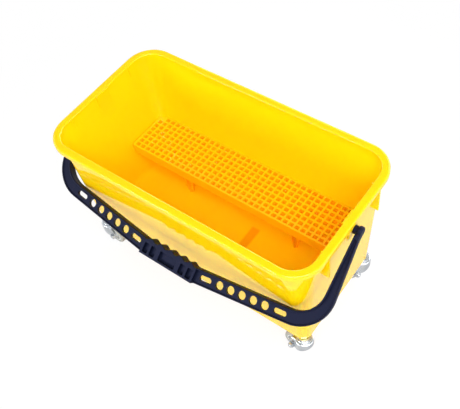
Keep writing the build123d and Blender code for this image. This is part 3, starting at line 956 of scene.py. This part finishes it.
def mesh_cutters():
    """Square holes of the mesh, without the two at its back corners."""
    sizes = {
        "Columns": COLUMNS,
        "Rows": ROWS,
        "Pitch X": PITCH_X * MM,
        "Pitch Y": PITCH_Y * MM,
        "Hole X": HOLE_X * MM,
        "Hole Y": HOLE_Y * MM,
        "Depth": 2 * SIEVE_PLATE * MM,
        "Corner": HOLE_CORNER * MM,
    }
    root, size = geometry_tree("mesh_holes", sizes)
    outline = rounded_curve(root, size["Hole X"], size["Hole Y"], steps=2, radius=size["Corner"])
    half = size["Depth"] * 0.5
    inputs = {"Start": vector(root, 0, 0, half * -1), "End": vector(root, 0, 0, half)}
    line = root.node("GeometryNodeCurvePrimitiveLine", inputs=inputs)
    inputs = {"Curve": line, "Profile Curve": outline, "Fill Caps": True}
    prism = root.node("GeometryNodeCurveToMesh", inputs=inputs)
    inputs = {
        "Size X": (size["Columns"] - 1) * size["Pitch X"],
        "Size Y": (size["Rows"] - 1) * size["Pitch Y"],
        "Vertices X": size["Columns"],
        "Vertices Y": size["Rows"],
    }
    spots = root.node("GeometryNodeMeshGrid", inputs=inputs)
    spot = root.node("GeometryNodeInputPosition")
    along, away = root.maths("ABSOLUTE", axis(root, spot, "X")), axis(root, spot, "Y")
    last_x = root.maths("GREATER_THAN", along, (size["Columns"] - 1.5) * size["Pitch X"] * 0.5)
    last_y = root.maths("GREATER_THAN", away, (size["Rows"] - 1.5) * size["Pitch Y"] * 0.5)
    kept = 1 - last_x * last_y
    return cutter("holes", root, spots, prism, sizes, SIEVE_TOP - SIEVE_PLATE / 2, Selection=kept)


def groove_cutters():
    """Shallow grooves that leave the bars along Y higher, in all columns but the first and last."""
    sizes = {
        "Columns": COLUMNS,
        "Pitch": PITCH_X * MM,
        "Width": HOLE_X * MM,
        "Length": (MESH_BACK - MESH_FRONT) * MM,
        "Depth": GROOVE_DEPTH * MM,
    }
    root, size = geometry_tree("mesh_grooves", sizes)
    extent = vector(root, size["Width"], size["Length"], size["Depth"] * 2)
    block = root.node("GeometryNodeMeshCube", inputs={"Size": extent})
    first = (size["Columns"] - 3) * size["Pitch"] * -0.5
    spots = spots_in_line(root, size["Columns"] - 2, first, size["Pitch"])
    return cutter("grooves", root, spots, block, sizes, SIEVE_TOP)


def sieve_leg(x, y):
    """Two crossed blades that widen towards the shelf."""
    outline = LEG_SIDE + [(-s, z) for s, z in reversed(LEG_SIDE)]
    made = []
    for turn in (0, pi / 2):
        front = [(s, -LEG_HALF, z) for s, z in outline]
        back = [(s, LEG_HALF, z) for s, z in outline]
        made.append(place(bevel(lofted("leg", [front, back]), LEG_EDGE), mm_at(x, y, 0, turn)))
    return made


def build_sieve():
    shelf = sieve_plate()
    combine(shelf, mesh_cutters(), "DIFFERENCE")
    combine(shelf, groove_cutters(), "DIFFERENCE")
    for side in (-1, 1):
        for row in LEG_ROWS:
            for blade in sieve_leg(side * LEG_X, SIEVE_FRONT + row):
                combine(shelf, blade)
    place(shelf, mm_at(SIEVE_SHIFT, 0, 0))
    return settle(shelf, "sieve", "sieve_plastic", SIEVE_YELLOW, "sieve")


build_sieve()


# Castors: built about their own swivel axis, then set where the joints are

TRAIL, AXLE_Z, WHEEL_R = 16.5, 21.0, 21.0
CROWN_TOP, WASHER_TOP, CUP_FOOT, CUP_TOP = 45.6, 47.6, 47.8, 50.2
RIVET_R, RIVET_FOOT, RIVET_TOP, KINGPIN_R = 6.0, 41.7, 43.3, 4.0
COLLAR_R, COLLAR_TOP, STEM_R, STEM_TOP = 11.5, 54.9, 4.45, 81.0
CUP_BORE, CUP_IN, CUP_OUT, CUP_SKIRT = 4.05, 11.8, 13.4, 46.0
WASHER_BORE, WASHER_R = 4.1, 11.0
HUB_BORE, HUB_BOSS, HUB_RIM_IN, HUB_RIM = 3.55, 8.0, 13.0, 15.5
HUB_HALF, HUB_WEB_HALF, HUB_RIM_HALF = 11.1, 3.5, 8.5
TYRE_SIDE_R, TYRE_SIDE_HALF, TREAD_HALF = 18.5, 9.5, 7.0
LEG_OUT, BOLT_R, BOLT_POINT, BOLT_REACH = 13.5, 3.5, 2.9, 7.0
THREADS, THREAD_ROOT, THREAD_FIRST, THREAD_RISE = 6, 3.1, 6.7, 0.5
FLATS, HEAD_HEIGHT, NUT_HEIGHT, HEX_CUT = 10.0, 4.0, 5.0, 0.7
HEX_WIDE, HEX_NARROW = FLATS / 2 * 1.16, FLATS / 2 * 0.96


def hexagon(name, low, high):
    """Hexagon with its corners turned off, as a nut or bolt head has them."""
    reach = FLATS / 2 / cos(pi / 6)
    ring = [(reach * cos(pi / 3 * i), reach * sin(pi / 3 * i)) for i in range(6)]
    prism = lofted(name, [raised(ring, low), raised(ring, high)])
    outline = [(0, low), (HEX_NARROW, low), (HEX_WIDE, low + HEX_CUT)]
    outline += [(HEX_WIDE, high - HEX_CUT), (HEX_NARROW, high), (0, high)]
    return combine(prism, lathe("turned", outline), "INTERSECT")


def mirrored_outline(half):
    """Closed outline of (radius, height) points from its lower half."""
    return half + [(r, -h) for r, h in reversed(half)]


def axle():
    """Bolt with a threaded end, and its nut."""
    end = -LEG_OUT - BOLT_REACH
    shank = [(0, end), (BOLT_POINT, end)]
    for i in range(THREADS):
        turn = i - LEG_OUT - THREAD_FIRST
        shank += [(THREAD_ROOT, turn), (BOLT_R, turn + THREAD_RISE)]
    shank += [(BOLT_R, LEG_OUT), (0, LEG_OUT)]
    head = (LEG_OUT, LEG_OUT + HEAD_HEIGHT)
    bolt = join("axle_bolt", [lathe("shank", shank, steps=32), hexagon("head", *head)])
    foot = -LEG_OUT - NUT_HEIGHT
    nut = hexagon("axle_nut", foot, -LEG_OUT)
    return bolt, combine(nut, cylinder("hole", BOLT_R, foot - 1, 0), "DIFFERENCE")


def castor_pieces():
    """Turned pieces of one castor, pointing along +X."""
    on_axle = mm_at(-TRAIL, 0, AXLE_Z) @ Matrix.Rotation(pi / 2, 4, "X")
    from_left = on_axle @ Matrix.Rotation(pi, 4, "X")
    stem = [(0, RIVET_FOOT), (RIVET_R, RIVET_FOOT), (RIVET_R, RIVET_TOP), (KINGPIN_R, RIVET_TOP)]
    stem += [(KINGPIN_R, CUP_TOP), (COLLAR_R, CUP_TOP), (COLLAR_R, COLLAR_TOP)]
    stem += [(STEM_R, COLLAR_TOP), (STEM_R, STEM_TOP), (0, STEM_TOP)]
    cup = [(CUP_BORE, CUP_FOOT), (CUP_IN, CUP_FOOT), (CUP_IN, CUP_SKIRT)]
    cup += [(CUP_OUT, CUP_SKIRT), (CUP_OUT, CUP_TOP), (CUP_BORE, CUP_TOP)]
    washer = [(WASHER_BORE, CROWN_TOP), (WASHER_R, CROWN_TOP)]
    washer += [(WASHER_R, WASHER_TOP), (WASHER_BORE, WASHER_TOP)]
    hub = [(HUB_BORE, -HUB_HALF), (HUB_BOSS, -HUB_HALF), (HUB_BOSS, -HUB_WEB_HALF)]
    hub += [(HUB_RIM_IN, -HUB_WEB_HALF), (HUB_RIM_IN, -HUB_RIM_HALF), (HUB_RIM, -HUB_RIM_HALF)]
    tyre = [(HUB_RIM, -HUB_RIM_HALF), (TYRE_SIDE_R, -TYRE_SIDE_HALF), (WHEEL_R, -TREAD_HALF)]
    hub, tyre = mirrored_outline(hub), mirrored_outline(tyre)
    bolt, nut = axle()
    return {
        "stem": lathe("stem", soften(stem, radius=0.6, steps=2)),
        "cup": lathe("cup", soften(cup, radius=0.7)),
        "washer": lathe("washer", soften(washer, radius=0.4, steps=2)),
        "axle_bolt": place(bolt, from_left),
        "axle_nut": place(nut, from_left),
        "wheel_hub": place(lathe("wheel_hub", soften(hub, radius=0.8)), on_axle),
        "tyre": place(lathe("tyre", soften(tyre, radius=1.6, steps=4), steps=64), on_axle),
    }


FINISHES = {
    "stem": ("zinc", ZINC),
    "cup": ("zinc", ZINC),
    "washer": ("washer_plastic", NYLON),
    "fork": ("zinc", ZINC),
    "axle_bolt": ("zinc", ZINC),
    "axle_nut": ("zinc", ZINC),
    "wheel_hub": ("hub_plastic", HUB_GREY),
    "tyre": ("tyre_rubber", TYRE_GREY),
}


def build_castors():
    """Four castors; the forks keep the shape of their solids."""
    joints = {joint["name"]: Vector(joint.get("pos_m") or (0, 0, 0)) for joint in frame["joints"]}
    pieces = castor_pieces()
    for corner in ("front_right", "front_left", "back_right", "back_left"):
        turn, roll = joints[corner + "_turn"], joints[corner + "_roll"]
        heading = atan2(turn.y - roll.y, turn.x - roll.x)
        at = Matrix.Translation((turn.x, turn.y, 0)) @ Matrix.Rotation(heading, 4, "Z")
        for piece, (slot, material) in FINISHES.items():
            node = corner + "_" + piece
            holder = frame["nodes"][node].parent.name
            body = next(name for name, empty in frame["bodies"].items() if empty.name == holder)
            if piece == "fork":
                obj = tidy(link(node + "_pressing", frame["nodes"][node].data.copy()))
                angle = PRESSING_ANGLE
            else:
                obj = place(link(node + "_turned", pieces[piece].data.copy()), at)
                angle = SMOOTH_ANGLE
            settle(obj, body, slot, material, node, angle=angle)
    for obj in pieces.values():
        bpy.data.objects.remove(obj)


build_castors()


# Floor, light and camera, in metres and watts

FLOOR_HALF, FLOOR_TONE, WHITE = 12.0, (0.93, 0.93, 0.93, 1), (1, 1, 1, 1)
FLOOR_DIM, SHADOW_SHARE, SHADOW_NEAR, SHADOW_FAR = 0.3, 0.16, 0.3, 0.8
FILL, CEILING_DIM, CEILING_LOW, CEILING_HIGH = 0.03, 0.8, 0.25, 0.75
LAMP_TARGET = (0, 0, 0.2)
LAMPS = [
    ("over_camera", (1.1, -1.1, 2.3), 2.0, 1.6, 71.0),
    ("front_left", (-0.9, -2.2, 0.8), 1.2, 0.6, 26.0),
    ("right", (2.2, 0, 1.0), 2.0, 1.6, 22.0),
    ("back", (0, 2.2, 1.3), 3.4, 2.0, 58.0),
    ("left", (-2.2, 0, 1.3), 2.0, 1.6, 12.0),
]
# Camera solved from the photo, its focal length in pixels of a picture this wide
SENSOR, PICTURE_WIDTH, FOCAL_LENGTH = 36.0, 460, 705.2
CAMERA_PLACE = (0.52085, -0.51382, 1.14249)
CAMERA_RIGHT = (0.80047869, 0.5901638, -0.10450393)
CAMERA_AHEAD = (-0.41645394, 0.42229078, -0.80513593)


def light_path(root):
    """Whether a ray comes from the camera, a reflection or a see-through face, as wires."""
    outputs = root.node("ShaderNodeLightPath").socket.node.outputs
    names = ("Is Camera Ray", "Is Glossy Ray", "Is Transmission Ray")
    return (Wire(root.tree, outputs[name]) for name in names)


def floor_finish():
    """Pale floor: white where the camera sees it, light grey in reflections, with the shadow kept faint."""
    material = bpy.data.materials.new("studio_floor")
    material.use_nodes = True
    material.node_tree.nodes.clear()
    root = Wire(material.node_tree)
    camera, glossy, through = light_path(root)
    where = object_place(root)
    reach = root.node("ShaderNodeVectorMath", {"operation": "LENGTH"}, {0: where}, output="Value")
    share = (1 - SHADOW_SHARE) + reach.between(SHADOW_NEAR, SHADOW_FAR) * SHADOW_SHARE
    seen = (camera + glossy + through).clamp() * share
    matt = root.node("ShaderNodeBsdfDiffuse", inputs={"Color": FLOOR_TONE})
    glow = root.node("ShaderNodeEmission", inputs={"Color": WHITE, "Strength": 1 - glossy * FLOOR_DIM})
    mixed = root.node("ShaderNodeMixShader", inputs={0: seen, 1: matt, 2: glow})
    root.node("ShaderNodeOutputMaterial", inputs={"Surface": mixed})
    return material


def build_stage():
    mesh = bpy.data.meshes.new("studio_floor")
    low, high = -FLOOR_HALF, FLOOR_HALF
    corners = [(low, low), (high, low), (high, high), (low, high)]
    mesh.from_pydata(raised(corners, 0), [], [(0, 1, 2, 3)])
    floor = link("studio_floor", mesh)
    mesh.materials.append(floor_finish())


def build_sky():
    """White to the camera, with a dimmer ceiling in reflections and a faint fill for the rest."""
    world = bpy.data.worlds.new("studio")
    world.use_nodes = True
    scene.world = world
    world.node_tree.nodes.clear()
    root = Wire(world.node_tree)
    camera, glossy, through = light_path(root)
    where = root.node("ShaderNodeTexCoord", output="Generated")
    rise = axis(root, where, "Z").between(CEILING_LOW, CEILING_HIGH)
    mirrored = (glossy + through) * (1 - rise * CEILING_DIM)
    strength = FILL + (camera + mirrored).clamp() * (1 - FILL)
    sky = root.node("ShaderNodeBackground", inputs={"Color": WHITE, "Strength": strength})
    root.node("ShaderNodeOutputWorld", inputs={"Surface": sky})


def softbox(name, location, width, height, power):
    data = bpy.data.lights.new(name, "AREA")
    data.shape = "RECTANGLE"
    data.size = width
    data.size_y = height
    data.energy = power
    lamp = link(name, data)
    lamp.location = location
    lamp.rotation_mode = "QUATERNION"
    lamp.rotation_quaternion = (Vector(LAMP_TARGET) - Vector(location)).to_track_quat("-Z", "Y")


def build_camera():
    data = bpy.data.cameras.new("camera")
    data.sensor_fit = "HORIZONTAL"
    data.sensor_width = SENSOR
    data.lens = SENSOR * FOCAL_LENGTH / PICTURE_WIDTH
    camera = link("camera", data)
    right, ahead = Vector(CAMERA_RIGHT), Vector(CAMERA_AHEAD)
    turn = Matrix((right, right.cross(ahead), -ahead)).transposed()
    camera.matrix_world = Matrix.Translation(CAMERA_PLACE) @ turn.to_4x4()
    scene.camera = camera


build_stage()
build_sky()
for lamp in LAMPS:
    softbox(*lamp)
build_camera()
